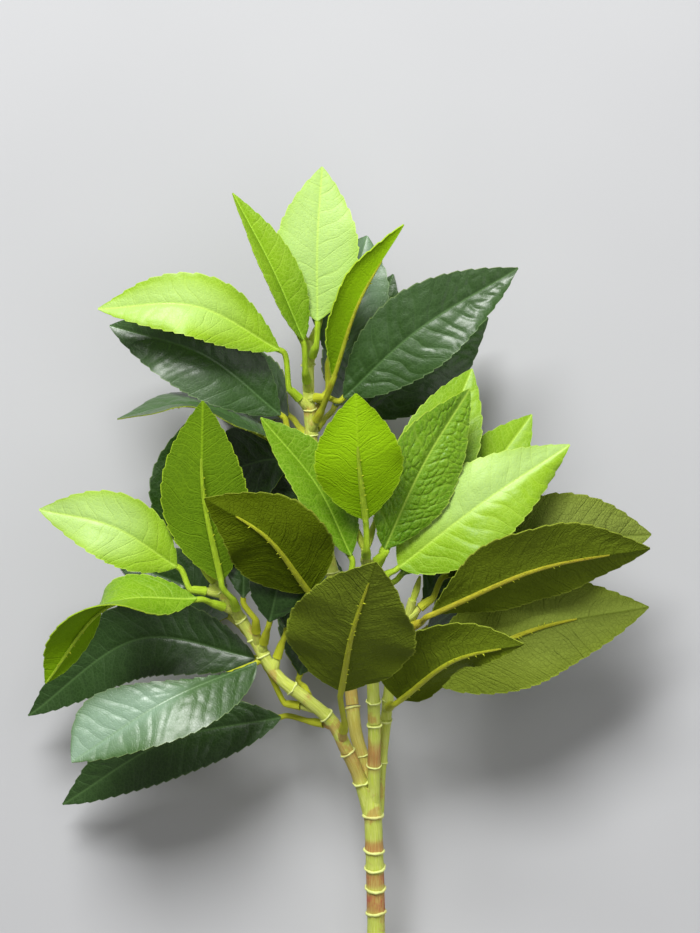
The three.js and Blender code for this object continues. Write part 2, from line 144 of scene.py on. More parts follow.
# The leaves, as the solids have them: the place of the peg along its stem, base, mid and tip of the
# midrib, the width, the place of the widest part, and turn, twist and fold in degrees
LEAF_COLUMNS = ["name", "age", "at", "base", "mid", "tip", "width", "belly", "turn", "twist", "fold"]
LEAVES = {
    "top": [
        ["top_01", "young", 0.93, [-25, 357, 82], [-25, 389, 88], [-23, 421, 88], 35, 0.46, 0, 8, 8],
        ["top_02", "young", 0.86, [-31, 349, 82], [-44, 379, 92], [-60, 409, 98], 26, 0.42, 30, 0, 48],
        ["top_03", "young", 0.75, [-19, 334, 80], [-8, 365, 94], [11, 396, 98], 30, 0.5, -102, 0, 56],
        ["top_04", "young", 0.81, [-41, 345, 75], [-76, 363, 86], [-117, 362, 82], 28, 0.48, 8, 10, 14],
        ["top_05", "old", 0.68, [-41, 318, 60], [-73, 343, 66], [-114, 356, 60], 37, 0.48, 4, 0, 12],
        ["top_06", "old", 0.62, [-40, 306, 60], [-78, 322, 72], [-110, 316, 68], 32, 0.5, 74, 0, 14],
        ["top_07", "old", 0.84, [-14, 325, 74], [17, 353, 84], [59, 379, 84], 36, 0.46, 8, 10, 12],
        ["top_08", "old", 0.68, [-10, 316, 50], [22, 341, 42], [49, 361, 30], 37, 0.5, 25, 0, 10],
        ["top_09", "old", 0.78, [-20, 342, 60], [-12, 368, 60], [-4, 395, 52], 34, 0.5, 6, 0, 10],
        ["top_10", "old", 0.74, [-18, 322, 42], [-4, 352, 0], [8, 382, -5], 34, 0.5, 0, 0, 10],
        ["top_11", "old", 0.72, [-38, 318, 40], [-62, 334, 0], [-94, 344, -5], 34, 0.5, 0, 0, 10],
        ["top_12", "old", 0.6, [-36, 300, 38], [-52, 298, 29], [-74, 290, 16], 36, 0.5, 0, 0, 10],
        ["top_13", "old", 0.45, [-26, 270, 40], [-32, 284, 24], [-36, 301, 8], 30, 0.5, 0, 0, 10],
    ],
    "front": [
        ["front_01", "young", 0.93, [-5, 274, 110], [-8, 300, 128], [-9, 325, 138], 37, 0.46, 180, 0, 12],
        ["front_02", "young", 0.68, [-11, 259, 97], [-25, 288, 101], [-48, 316, 108], 32, 0.46, 20, 0, 40],
        ["front_03", "young", 0.87, [3, 262, 97], [19, 297, 103], [38, 328, 101], 35, 0.44, 24, 0, 10],
        ["front_04", "young", 0.78, [9, 254, 90], [45, 282, 96], [80, 305, 92], 38, 0.4, -6, 0, 12],
        ["front_05", "old", 0.62, [-28, 244, 96], [-46, 268, 118], [-70, 283, 127], 44, 0.38, 162, 0, 16],
        ["front_07", "young", 0.7, [10, 250, 76], [40, 284, 74], [66, 318, 64], 34, 0.5, 0, 0, 12],
        ["front_08", "young", 0.79, [7, 267, 87], [25, 302, 84], [40, 337, 78], 34, 0.5, 0, 0, 12],
    ],
    "right": [
        ["right_01", "old", 0.08, [9, 198, 80], [32, 217, 108], [59, 224, 124], 50, 0.3, 210, 0, 24],
        ["right_02", "old", 0.74, [23, 235, 88], [67, 254, 98], [113, 262, 96], 44, 0.48, 222, 0, 12],
        ["right_03", "old", 0.3, [22, 206, 66], [67, 227, 70], [116, 236, 62], 46, 0.42, 180, 0, 10],
        ["right_04", "old", 0.86, [30, 250, 78], [75, 265, 76], [117, 267, 62], 40, 0.5, 0, 0, 10],
        ["right_05", "old", 0.5, [22, 226, 50], [56, 243, 0], [98, 252, -5], 36, 0.5, 0, 0, 10],
        ["right_06", "old", 0.62, [20, 238, 60], [44, 268, 38], [70, 298, 12], 36, 0.5, 0, 0, 10],
    ],
    "left": [
        ["front_06", "old", 0.06, [-15, 202, 86], [-10, 230, 121], [-1, 258, 148], 54, 0.44, 180, 0, 8],
        ["left_01", "young", 0.8, [-65, 248, 88], [-72, 286, 98], [-72, 323, 104], 37, 0.46, 180, 0, 12],
        ["left_02", "young", 0.94, [-84, 254, 84], [-110, 271, 92], [-141, 278, 88], 30, 0.44, 0, 0, 10],
        ["left_03", "young", 0.84, [-75, 241, 90], [-111, 239, 104], [-138, 206, 92], 34, 0.5, 88, 112, 14],
        ["left_04", "old", 0.25, [-51, 213, 71], [-88, 198, 83], [-128, 172, 82], 37, 0.58, 18, 0, 10],
        ["left_05", "old", 0.42, [-52, 214, 58], [-101, 222, 52], [-152, 187, 30], 34, 0.42, 0, 0, 10],
        ["left_06", "old", 0.14, [-41, 188, 50], [-90, 177, 40], [-138, 147, 20], 33, 0.45, 0, 0, 10],
        ["left_07", "old", 0.62, [-45, 231, 84], [-41, 248, 91], [-38, 264, 88], 24, 0.5, 0, 0, 10],
        ["left_08", "old", 0.66, [-56, 241, 83], [-56, 254, 84], [-57, 266, 80], 14, 0.5, 0, 0, 10],
        ["left_09", "old", 0.9, [-74, 256, 70], [-79, 284, 75], [-80, 314, 84], 34, 0.5, 0, 0, 10],
        ["left_10", "old", 0.52, [-38, 228, 75], [-36, 240, 73], [-34, 254, 66], 18, 0.5, 0, 0, 10],
        ["left_11", "old", 0.7, [-64, 231, 46], [-86, 243, 0], [-116, 254, -5], 36, 0.5, 0, 0, 10],
        ["left_12", "old", 0.3, [-33, 206, 48], [-26, 232, 22], [-20, 258, 8], 34, 0.5, 0, 0, 10],
    ],
}

# How each leaf departs from the plain one. tone runs from deep to light, and its highest values paint a
# pale sheen. base and edge are how far it deepens towards the foot and the margin, painted shade that keeps
# the painted sheen in the middle of the face, and dim how far it deepens on one hand, the right where it is
# positive, painted shade on the half turned from the light.
# quilt is the height of the cushions between the veins, cells the number of their rows between two
# veins, and groove the depth of the veins. swell is the height of broad waves of the sheet. wave and
# waves are the height, as a share of the half width, and number of the ripples of the margin. left
# scales the left half, and skew moves the widest place towards the tip on the right half and towards
# the foot on the left. curl turns up the right margin towards the tip, as a share of the half width.
# rib is how far the rib runs along the blade, lift how far its free end stands off it, and ochre how
# far it has turned from green to ochre. back says that both faces have the underside's finish
PLAIN_LOOK = {
    "young": {"tone": 0.5, "base": 0.35, "edge": 0.2, "painted_shade_hand": 0.0, "quilt": 0.1, "cells": 1,
              "groove": 0.1, "swell": 0.35, "wave": 0.03, "waves": 2.5, "left": 1.0, "skew": 0.0,
              "curl": 0.0, "rib": 0.76, "lift": 0.0, "ochre": 0.03, "back": False},
    "old": {"tone": 0.15, "base": 0.3, "edge": 0.2, "painted_shade_hand": 0.0, "quilt": 0.22, "cells": 1,
            "groove": 0.2, "swell": 0.5, "wave": 0.04, "waves": 2.5, "left": 1.0, "skew": 0.0,
            "curl": 0.0, "rib": 0.78, "lift": 0.0, "ochre": 0.08, "back": False},
}
# The high tones of top_01, top_04, top_09, front_04, left_02 and left_04 paint a pale sheen on their upper
# faces, left_04's strong base paints its foot darker, and the one-sided values of front_04 and left_04
# paint shade on one half
LOOKS = {
    "top_01": {"tone": 1.0, "base": 0.1, "swell": 0.2},
    "top_02": {"tone": 0.5, "quilt": 0.15},
    "top_03": {"tone": 0.5, "ochre": 0.6},
    "top_04": {"tone": 0.9, "edge": 0.4, "wave": 0.06, "swell": 0.5},
    "top_05": {"tone": 0.3, "quilt": 0.12},
    "top_06": {"tone": 0.4},
    "top_07": {"tone": 0.28, "quilt": 0.25, "groove": 0.45, "wave": 0.05, "curl": 0.5},
    "top_08": {"tone": 0.0},
    "top_09": {"tone": 0.8, "quilt": 0.05, "groove": 0.15},
    "top_12": {"tone": 0.0},
    "top_13": {"tone": 0.0},
    "front_01": {"tone": 0.8, "quilt": 0.08, "rib": 0.62},
    "front_02": {"tone": 0.24},
    "front_03": {"tone": 0.2, "quilt": 0.5, "groove": 0.15, "cells": 2, "swell": 0.5},
    "front_04": {"tone": 1.0, "painted_shade_hand": 0.4, "quilt": 0.12, "groove": 0.25, "swell": 0.7, "wave": 0.05,
                 "curl": -0.35},
    "front_05": {"tone": 0.0},
    "front_06": {"tone": 0.45, "wave": 0.05, "waves": 3.5, "rib": 0.86},
    "right_01": {"tone": 0.2, "left": 0.5, "wave": 0.14, "waves": 1.3, "rib": 0.86},
    "right_02": {"tone": 0.25, "ochre": 0.55, "wave": 0.05, "rib": 0.82},
    "right_03": {"tone": 0.8, "ochre": 0.3, "rib": 0.68},
    "right_04": {"tone": 0.95, "quilt": 0.3, "groove": 0.3, "back": True},
    "left_01": {"tone": 0.06, "lift": 5.0, "rib": 0.7},
    "left_02": {"tone": 1.0, "base": 0.45, "edge": 0.3, "swell": 0.6},
    "left_03": {"tone": 0.4, "quilt": 0.25, "rib": 1.0},
    "left_04": {"tone": 1.0, "base": 0.8, "edge": 0.3, "painted_shade_hand": -0.2, "quilt": 0.14, "groove": 0.28,
                "swell": 0.3, "skew": 0.18},
    "left_05": {"tone": 0.12, "quilt": 0.12, "swell": 0.3},
    "left_07": {"tone": 0.1},
    "left_08": {"tone": 0.2},
    "left_09": {"tone": 0.0},
    "left_10": {"tone": 0.1},
    "left_12": {"tone": 0.0},
}


# Curves
class Path:
    """A curve kept as many close points, and read by its share of the length"""

    def __init__(self, points):
        self.points = points
        steps = np.linalg.norm(np.diff(points, axis=0), axis=1)
        self.reach = np.concatenate([[0.0], np.cumsum(steps)])
        self.length = self.reach[-1]
        self.slopes = np.gradient(points, self.reach, axis=0)

    def read(self, columns, place):
        """Values of the columns at a place, or at many"""
        spot = np.asarray(place) * self.length
        return np.stack([np.interp(spot, self.reach, column) for column in columns.T], axis=-1)

    def at(self, place):
        return self.read(self.points, place)

    def along(self, place):
        return unit(self.read(self.slopes, place))

    def stretch(self, start, end):
        return Path(self.at(np.linspace(start, end, STRETCH_POINTS)))


def unit(vectors):
    """The same directions with length one"""
    return vectors / np.linalg.norm(vectors, axis=-1, keepdims=True)


def smooth_path(places):
    """A centripetal curve through given points"""
    points = np.array(places, dtype=float)
    ends = np.vstack([2 * points[0] - points[1], points, 2 * points[-1] - points[-2]])
    run = []
    share = np.linspace(0, 1, CURVE_STEPS, endpoint=False)[:, None]
    for first in range(len(points) - 1):
        before, start, end, after = ends[first:first + 4]
        gaps = [np.linalg.norm(b - a) ** 0.5 for a, b in ((before, start), (start, end), (end, after))]
        leave = ((start - before) / gaps[0] - (end - before) / (gaps[0] + gaps[1])
                 + (end - start) / gaps[1]) * gaps[1]
        reach = ((end - start) / gaps[1] - (after - start) / (gaps[1] + gaps[2])
                 + (after - end) / gaps[2]) * gaps[1]
        run.append(start + leave * share + (3 * end - 3 * start - 2 * leave - reach) * share ** 2
                   + (2 * start - 2 * end + leave + reach) * share ** 3)
    run.append(points[-1:])
    return Path(np.vstack(run))


def midrib_of(leaf):
    """The leaf's midrib, eased out flat at its resting height on the table"""
    points = smooth_path([leaf["base"], leaf["mid"], leaf["tip"]]).points
    above = np.clip(points[:, 2] - REST_HEIGHT + REST_EASE, 0, 2 * REST_EASE)
    eased = REST_HEIGHT + above ** 2 / (4 * REST_EASE)
    points[:, 2] = np.where(above < 2 * REST_EASE, eased, points[:, 2])
    return Path(points)


def leaf_frame(leaf, midrib, place):
    """Centre, direction, right side and upper face at one place, or at many"""
    place = np.asarray(place, dtype=float)
    along = midrib.along(place)
    side = unit(np.cross(along, UP))
    face = np.cross(side, along)
    roll = np.radians(leaf["turn"] + leaf["twist"] * (ease(0, 1, place) - 0.5))[..., None]
    turned_side = side * np.cos(roll) - face * np.sin(roll)
    turned_face = face * np.cos(roll) + side * np.sin(roll)
    return midrib.at(place), along, turned_side, turned_face


def half_width(leaf, place, skew=0.0):
    """Width of one half. skew moves its widest place towards the tip"""
    power = math.log(0.5) / math.log(leaf["belly"] + skew)
    swell = np.sin(np.pi * np.asarray(place) ** power)
    return np.maximum(BLADE_END / 2, leaf["width"] / 2 * np.maximum(swell, 0) ** FULLNESS)


def ease(low, high, value):
    """From 0 at low to 1 at high, level at both ends"""
    share = np.clip((value - low) / (high - low), 0, 1)
    return share * share * (3 - 2 * share)


# Meshes
def add_object(name, data):
    """An object of this name in the scene, which shows the data"""
    thing = bpy.data.objects.new(name, data)
    bpy.context.scene.collection.objects.link(thing)
    return thing


def new_piece(name, points, faces, materials, uvs, values, sharp_angle, face_materials=None):
    """A finished piece with its place in its mesh. points are in layout millimetres"""
    mesh = bpy.data.meshes.new(name)
    mesh.from_pydata(((points + SHIFT) * MILLIMETRE).tolist(), [], faces)
    for material in materials:
        mesh.materials.append(material)
    if face_materials is not None:
        mesh.polygons.foreach_set("material_index", face_materials)
    corners = np.empty(len(mesh.loops), dtype=np.int32)
    mesh.loops.foreach_get("vertex_index", corners)
    layer = mesh.uv_layers.new(name="surface")
    layer.data.foreach_set("uv", uvs[corners].ravel())
    for label, numbers in values.items():
        attribute = mesh.attributes.new(label, "FLOAT", "POINT")
        attribute.data.foreach_set("value", numbers.astype(np.float32))
    mesh.shade_smooth()
    mesh.set_sharp_from_angle(angle=math.radians(sharp_angle))
    mesh.update()
    return add_object(name, mesh)


def dress(piece, finish, *nodes):
    """The piece rides on the one body and stands for its solids. finish is not used"""
    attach(piece, "root")
    if nodes:
        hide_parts(*nodes)


class Tubes:
    """Swept tubes gathered into one mesh"""

    def __init__(self):
        self.points = []
        self.faces = []
        self.uvs = []
        self.tones = []
        self.count = 0

    def sweep(self, centres, wide, sides, high=None, over=None, tone=0.0, run=None):
        """A closed tube through the centres. wide and high are its half width and half height, over is
        the way that its flat side looks, and run its direction where that isn't the centres' own"""
        centres = np.asarray(centres, dtype=float)
        wide = np.asarray(wide, dtype=float)
        high = wide if high is None else np.asarray(high, dtype=float)
        rows = len(centres)
        steps = np.gradient(centres, axis=0) if run is None else run
        along = unit(steps)
        start = UP if over is None else np.asarray(over)[-1]
        overs = np.empty_like(centres)
        for row in range(rows - 1, -1, -1):
            lean = start if over is None else np.asarray(over)[row]
            lean = lean - along[row] * (lean @ along[row])
            overs[row] = lean / np.linalg.norm(lean)
            start = overs[row]
        across = np.cross(along, overs)
        angles = np.arange(sides) * 2 * np.pi / sides
        ring = (centres[:, None]
                + across[:, None] * (wide[:, None] * np.cos(angles))[..., None]
                + overs[:, None] * (high[:, None] * np.sin(angles))[..., None])
        ring[..., 2] = np.maximum(ring[..., 2], TABLE_CLEAR)
        travel = np.concatenate([[0], np.cumsum(np.linalg.norm(np.diff(centres, axis=0), axis=1))])
        first = self.count
        self.points.append(ring.reshape(-1, 3))
        turn = np.abs(np.linspace(-1, 1, sides, endpoint=False))
        uv = np.stack(np.broadcast_arrays(turn[None, :] * 0.5, travel[:, None] / UV_SPAN), axis=-1)
        self.uvs.append(uv.reshape(-1, 2))
        self.tones.append(np.repeat(np.broadcast_to(tone, rows), sides))
        row, side = np.meshgrid(np.arange(rows - 1), np.arange(sides), indexing="ij")
        a = (first + row * sides + side).ravel()
        b = (first + row * sides + (side + 1) % sides).ravel()
        self.faces += np.stack([a, b, b + sides, a + sides], axis=1).tolist()
        last = first + (rows - 1) * sides
        self.faces.append([first + side for side in range(sides - 1, -1, -1)])
        self.faces.append([last + side for side in range(sides)])
        self.count += rows * sides

    def piece(self, name, material):
        return new_piece(name, np.vstack(self.points), self.faces, [material], np.vstack(self.uvs),
                         {"tone": np.concatenate(self.tones)}, TUBE_EDGE)


# Shader wiring
class Wiring:
    """Puts nodes into one tree and joins them"""

    def __init__(self, tree):
        self.tree = tree

    def put(self, kind, inputs=None, **settings):
        node = self.tree.nodes.new(kind)
        for setting, value in settings.items():
            setattr(node, setting, value)
        for key, value in (inputs or {}).items():
            if isinstance(value, bpy.types.NodeSocket):
                self.join(value, node.inputs[key])
            else:
                node.inputs[key].default_value = value
        return node

    def maths(self, operation, *values):
        return self.put("ShaderNodeMath", dict(enumerate(values)), operation=operation).outputs[0]

    def times(self, first, second):
        return self.maths("MULTIPLY", first, second)

    def plus(self, first, second):
        return self.maths("ADD", first, second)

    def minus(self, first, second):
        return self.maths("SUBTRACT", first, second)

    def larger(self, first, second):
        return self.maths("MAXIMUM", first, second)

    def join(self, value, socket):
        self.tree.links.new(value, socket)

    def blend(self, share, first, second):
        """The colour between first and second"""
        return self.put("ShaderNodeMix", {0: share, 6: first, 7: second}, data_type="RGBA").outputs[2]

    def span(self, value, low, high, start=0.0, end=1.0):
        """value eased from one range to another"""
        node = self.put("ShaderNodeMapRange", {0: value, 1: low, 2: high, 3: start, 4: end},
                        interpolation_type="SMOOTHSTEP")
        return node.outputs[0]


def new_group(name, inputs, outputs):
    """A shader node group with named sockets. Gives the group, its wiring, and its two end nodes"""
    group = bpy.data.node_groups.new(name, "ShaderNodeTree")
    for label, value in inputs.items():
        kind = "NodeSocketVector" if value is None else "NodeSocketFloat"
        socket = group.interface.new_socket(label, in_out="INPUT", socket_type=kind)
        if value is not None:
            socket.default_value = value
    for label in outputs:
        group.interface.new_socket(label, in_out="OUTPUT", socket_type="NodeSocketFloat")
    wiring = Wiring(group)
    return group, wiring, group.nodes.new("NodeGroupInput"), group.nodes.new("NodeGroupOutput")


def make_vein_group():
    """Side veins that leave the midrib by turns and bend towards the tip"""
    group, w, given, result = new_group(
        "leaf veins",
        {"Surface": None, "Pitch": VEIN_PITCH, "Slant": VEIN_SLANT, "Bend": VEIN_BEND, "Width": 0.6,
         "Stray": 1.0, "Midrib Width": 0.9},
        ["Vein", "Midrib"])
    split = w.put("ShaderNodeSeparateXYZ", {0: given.outputs["Surface"]})
    across = w.times(w.minus(split.outputs[0], 0.5), UV_SPAN)
    along = w.times(split.outputs[1], UV_SPAN)
    drift = w.put("ShaderNodeTexNoise", {"Vector": given.outputs["Surface"], "Scale": 16.0, "Detail": 2.0})
    stray = w.times(w.minus(drift.outputs[0], 0.5), given.outputs["Stray"])
    away = w.maths("ABSOLUTE", across)
    slant = w.times(away, given.outputs["Slant"])
    bend = w.times(w.times(away, away), given.outputs["Bend"])
    root = w.minus(w.minus(w.plus(along, stray), slant), bend)
    hand = w.times(w.maths("GREATER_THAN", across, 0.0), 0.5)
    phase = w.plus(w.maths("DIVIDE", root, given.outputs["Pitch"]), hand)
    centred = w.minus(w.maths("FRACT", w.plus(phase, 0.5)), 0.5)
    distance = w.times(w.maths("ABSOLUTE", centred), given.outputs["Pitch"])
    vein = w.span(distance, 0.0, given.outputs["Width"], 1.0, 0.0)
    midrib = w.span(away, 0.0, given.outputs["Midrib Width"], 1.0, 0.0)
    w.join(vein, result.inputs["Vein"])
    w.join(midrib, result.inputs["Midrib"])
    return group


def make_crinkle_group():
    """The net of finest veins, and the grain of the coating"""
    group, w, given, result = new_group(
        "leaf crinkle", {"Point": None, "Cell": 1.6, "Line": 0.16}, ["Net", "Grain"])
    scale = w.maths("DIVIDE", 1 / MILLIMETRE, given.outputs["Cell"])
    bend = w.put("ShaderNodeTexNoise", {"Vector": given.outputs["Point"], "Scale": 260.0, "Detail": 1.0})
    nudge = w.put("ShaderNodeVectorMath", {0: bend.outputs["Color"], "Scale": 0.0012}, operation="SCALE")
    point = w.put("ShaderNodeVectorMath", {0: given.outputs["Point"], 1: nudge.outputs[0]}, operation="ADD")
    cells = w.put("ShaderNodeTexVoronoi", {"Vector": point.outputs[0], "Scale": scale},
                  feature="DISTANCE_TO_EDGE")
    net = w.span(cells.outputs["Distance"], 0.0, given.outputs["Line"], 1.0, 0.0)
    grain = w.put("ShaderNodeTexNoise", {"Vector": given.outputs["Point"], "Scale": 2600.0, "Detail": 2.0})
    w.join(net, result.inputs["Net"])
    w.join(grain.outputs[0], result.inputs["Grain"])
    return group


def make_drift_group():
    """Slow change of colour over a moulded or printed surface"""
    group, w, given, result = new_group("colour drift", {"Point": None, "Size": 12.0}, ["Drift"])
    scale = w.maths("DIVIDE", 1 / MILLIMETRE, given.outputs["Size"])
    noise = w.put("ShaderNodeTexNoise", {"Vector": given.outputs["Point"], "Scale": scale, "Detail": 3.0})
    w.join(w.span(noise.outputs[0], 0.3, 0.7), result.inputs["Drift"])
    return group


def make_streak_group():
    """Fine lengthwise streaks and broken patches along a moulded stem"""
    group, w, given, result = new_group(
        "stem streaks", {"Surface": None, "Point": None, "Patch Size": 14.0}, ["Streak", "Patch"])
    stretch = w.put("ShaderNodeVectorMath", {0: given.outputs["Surface"], 1: (34.0, 10.0, 1.0)},
                    operation="MULTIPLY")
    streak = w.put("ShaderNodeTexNoise", {"Vector": stretch.outputs[0], "Scale": 1.6, "Detail": 3.0})
    scale = w.maths("DIVIDE", 1 / MILLIMETRE, given.outputs["Patch Size"])
    patch = w.put("ShaderNodeTexNoise", {"Vector": given.outputs["Point"], "Scale": scale, "Detail": 4.0,
                                         "Roughness": 0.65})
    w.join(w.span(streak.outputs[0], 0.35, 0.68), result.inputs["Streak"])
    w.join(w.span(patch.outputs[0], 0.5, 0.62), result.inputs["Patch"])
    return group


VEINS = make_vein_group()
CRINKLE = make_crinkle_group()
DRIFT = make_drift_group()
STREAKS = make_streak_group()


def colour(red, green, blue):
    """An opaque linear colour"""
    return (red, green, blue, 1.0)


def new_material(name):
    """An empty material with its Principled shader. Gives the material, its wiring and the shader"""
    material = bpy.data.materials.new(name)
    material.use_nodes = True
    wiring = Wiring(material.node_tree)
    return material, wiring, material.node_tree.nodes["Principled BSDF"]


def read_surface(w):
    """The surface map and the object's own coordinates"""
    surface = w.put("ShaderNodeUVMap", uv_map="surface").outputs[0]
    point = w.put("ShaderNodeTexCoord").outputs["Object"]
    return surface, point


def use_group(w, group, inputs):
    """Puts a node group in place with its own values, and gives its outputs"""
    return w.put("ShaderNodeGroup", inputs, node_tree=group).outputs


# How strongly each mark is printed on a leaf face and pressed into it, beside its finest net
SIDE_VEIN_SHARE = 0.45
FINE_VEIN_SHARE = 0.3
NET_SHARE = 0.3
SIDE_VEIN_DEPTH = 2.0
FINE_VEIN_DEPTH = 1.3
GRAIN_HEIGHT = 0.35

# Tone from which a leaf face turns pale, a painted sheen, and where its lighter margin starts
PAINTED_SHEEN_FROM = 0.6
MARGIN_FROM = 0.96
MARGIN_SHARE = 0.55
COAT_ROUGHNESS = 0.3
STEM_GLOSS = 0.3


def leaf_material(name, deep, light, pale, veins, margin, vein_share, fine_pitch, rough, coat, net_depth,
                  gloss):
    """A printed and embossed leaf face. Its tone runs from deep to light, and at the end to pale, a painted
    sheen
    """
    material, w, shader = new_material(name)
    surface, point = read_surface(w)
    tone = w.put("ShaderNodeAttribute", attribute_name="tone").outputs["Fac"]
    rim = w.put("ShaderNodeAttribute", attribute_name="rim").outputs["Fac"]
    main = use_group(w, VEINS, {"Surface": surface})
    fine = use_group(w, VEINS, {"Surface": surface, "Pitch": fine_pitch, "Width": 0.5, "Stray": 3.0,
                                 "Slant": 0.4})
    net = use_group(w, CRINKLE, {"Point": point})
    drift = use_group(w, DRIFT, {"Point": point, "Size": 16.0})
    body = w.blend(tone, deep, light)
    spread = w.times(w.plus(tone, 0.1), 0.35)
    body = w.blend(w.times(drift["Drift"], spread), body, light)
    # Painted sheen: the highest tones blend towards the pale colour
    body = w.blend(w.span(tone, PAINTED_SHEEN_FROM, 1.0), body, pale)
    some = use_group(w, DRIFT, {"Point": point, "Size": 7.0})["Drift"]
    fine_vein = w.times(fine["Vein"], some)
    side_vein = w.times(main["Vein"], w.plus(w.times(drift["Drift"], 0.6), 0.4))
    printed = w.larger(main["Midrib"], w.times(side_vein, SIDE_VEIN_SHARE))
    printed = w.larger(printed, w.times(fine_vein, FINE_VEIN_SHARE))
    printed = w.larger(printed, w.times(net["Net"], NET_SHARE))
    body = w.blend(w.times(printed, vein_share), body, veins)
    body = w.blend(w.times(w.span(rim, MARGIN_FROM, 1.0), MARGIN_SHARE), body, margin)
    w.join(body, shader.inputs["Base Color"])
    rougher = w.plus(w.times(drift["Drift"], 0.12), rough)
    w.join(w.plus(rougher, w.times(net["Net"], 0.05)), shader.inputs["Roughness"])
    height = w.times(net["Net"], -net_depth)
    height = w.plus(height, w.times(fine_vein, -net_depth * FINE_VEIN_DEPTH))
    height = w.plus(height, w.times(side_vein, -net_depth * SIDE_VEIN_DEPTH))
    height = w.plus(height, w.times(net["Grain"], net_depth * GRAIN_HEIGHT))
    emboss(w, shader, height)
    shader.inputs["Coat Weight"].default_value = coat
    shader.inputs["Coat Roughness"].default_value = COAT_ROUGHNESS
    shader.inputs["Specular IOR Level"].default_value = gloss
    return material


def emboss(w, shader, height):
    """Relief of the surface, from its height in millimetres"""
    bump = w.put("ShaderNodeBump", {"Strength": 1.0, "Distance": MILLIMETRE, "Height": height})
    w.join(bump.outputs[0], shader.inputs["Normal"])


def stem_material(name, base, streak, patch, patch_share, rough):
    """Moulded stem plastic with streaks along it and reddish patches"""
    material, w, shader = new_material(name)
    surface, point = read_surface(w)
    tone = w.put("ShaderNodeAttribute", attribute_name="tone").outputs["Fac"]
    streaks = use_group(w, STREAKS, {"Surface": surface, "Point": point})
    drift = use_group(w, DRIFT, {"Point": point, "Size": 7.0})
    body = w.blend(w.times(streaks["Streak"], 0.55), base, streak)
    red = w.times(streaks["Patch"], patch_share)
    broken = w.minus(1.0, w.times(streaks["Streak"], 0.3))
    placed = w.times(tone, w.plus(0.7, w.times(streaks["Patch"], 0.3)))
    red = w.times(w.larger(red, placed), broken)
    body = w.blend(red, body, patch)
    w.join(body, shader.inputs["Base Color"])
    w.join(w.plus(w.times(drift["Drift"], 0.15), rough),
                     shader.inputs["Roughness"])
    emboss(w, shader, w.plus(w.times(streaks["Streak"], 0.16), w.times(drift["Drift"], 0.1)))
    shader.inputs["Specular IOR Level"].default_value = STEM_GLOSS
    return material


def wire_material():
    """Drawn steel wire, a little dull"""
    material, w, shader = new_material("drawn steel wire")
    point = w.put("ShaderNodeTexCoord").outputs["Object"]
    drift = use_group(w, DRIFT, {"Point": point, "Size": 2.0})
    body = w.blend(drift["Drift"], colour(0.42, 0.42, 0.43), colour(0.6, 0.6, 0.61))
    w.join(body, shader.inputs["Base Color"])
    w.join(w.plus(w.times(drift["Drift"], 0.2), 0.3),
                     shader.inputs["Roughness"])
    shader.inputs["Metallic"].default_value = 1.0
    return material


# The pale colour of each face is a painted sheen, reached at the highest tones
FACES = {
    "young": {
        "upper": leaf_material("young leaf upper face", deep=colour(0.05, 0.17, 0.001),
                               light=colour(0.35, 0.57, 0.02), pale=colour(0.4, 0.6, 0.17),
                               veins=colour(0.55, 0.78, 0.1), margin=colour(0.6, 0.8, 0.12),
                               vein_share=0.5, fine_pitch=3.2, rough=0.38, coat=0.2, net_depth=0.06,
                               gloss=0.15),
        "under": leaf_material("young leaf underside", deep=colour(0.08, 0.155, 0.006),
                               light=colour(0.28, 0.52, 0.002), pale=colour(0.3, 0.54, 0.01),
                               veins=colour(0.36, 0.58, 0.02), margin=colour(0.5, 0.7, 0.05),
                               vein_share=0.35, fine_pitch=2.3, rough=0.62, coat=0.0, net_depth=0.08,
                               gloss=0.04),
    },
    "old": {
        "upper": leaf_material("old leaf upper face", deep=colour(0.012, 0.04, 0.002),
                               light=colour(0.09, 0.18, 0.06), pale=colour(0.24, 0.36, 0.25),
                               veins=colour(0.14, 0.27, 0.08), margin=colour(0.2, 0.3, 0.12),
                               vein_share=0.35, fine_pitch=3.4, rough=0.33, coat=0.5, net_depth=0.05,
                               gloss=0.25),
        "under": leaf_material("old leaf underside", deep=colour(0.085, 0.125, 0.002),
                               light=colour(0.2, 0.26, 0.03), pale=colour(0.22, 0.28, 0.05),
                               veins=colour(0.06, 0.09, 0.002), margin=colour(0.36, 0.44, 0.05),
                               vein_share=0.5, fine_pitch=2.2, rough=0.62, coat=0.0, net_depth=0.13,
                               gloss=0.05),
    },
}
STALKS = {
    "young": stem_material("young rib and stalk", base=colour(0.42, 0.66, 0.02),
                           streak=colour(0.56, 0.76, 0.06), patch=colour(0.56, 0.3, 0.02),
                           patch_share=0.03, rough=0.45),
    "old": stem_material("old rib and stalk", base=colour(0.5, 0.56, 0.015),
                         streak=colour(0.6, 0.66, 0.05), patch=colour(0.52, 0.32, 0.03),
                         patch_share=0.05, rough=0.45),
}
STEM = stem_material("moulded stem", base=colour(0.56, 0.66, 0.08), streak=colour(0.78, 0.82, 0.26),
                     patch=colour(0.5, 0.07, 0.07), patch_share=0.5, rough=0.45)
COLLAR = stem_material("pale collar", base=colour(0.66, 0.74, 0.2), streak=colour(0.8, 0.84, 0.4),
                       patch=colour(0.58, 0.36, 0.14), patch_share=0.3, rough=0.42)
BUD = stem_material("pale bud", base=colour(0.62, 0.76, 0.06), streak=colour(0.76, 0.84, 0.16),
                    patch=colour(0.55, 0.5, 0.08), patch_share=0.2, rough=0.45)
WIRE = wire_material()


# Leaves
# Cushions between the veins: rows of them counted in side veins from the foot, the widest half blade
# that they cover, how far they stray from their row, and the reach of the crease round each
CUSHION_ROWS = (-8, 22)
WIDEST_HALF = 32
CUSHION_STRAY = 0.34
CREASE_REACH = 1.9

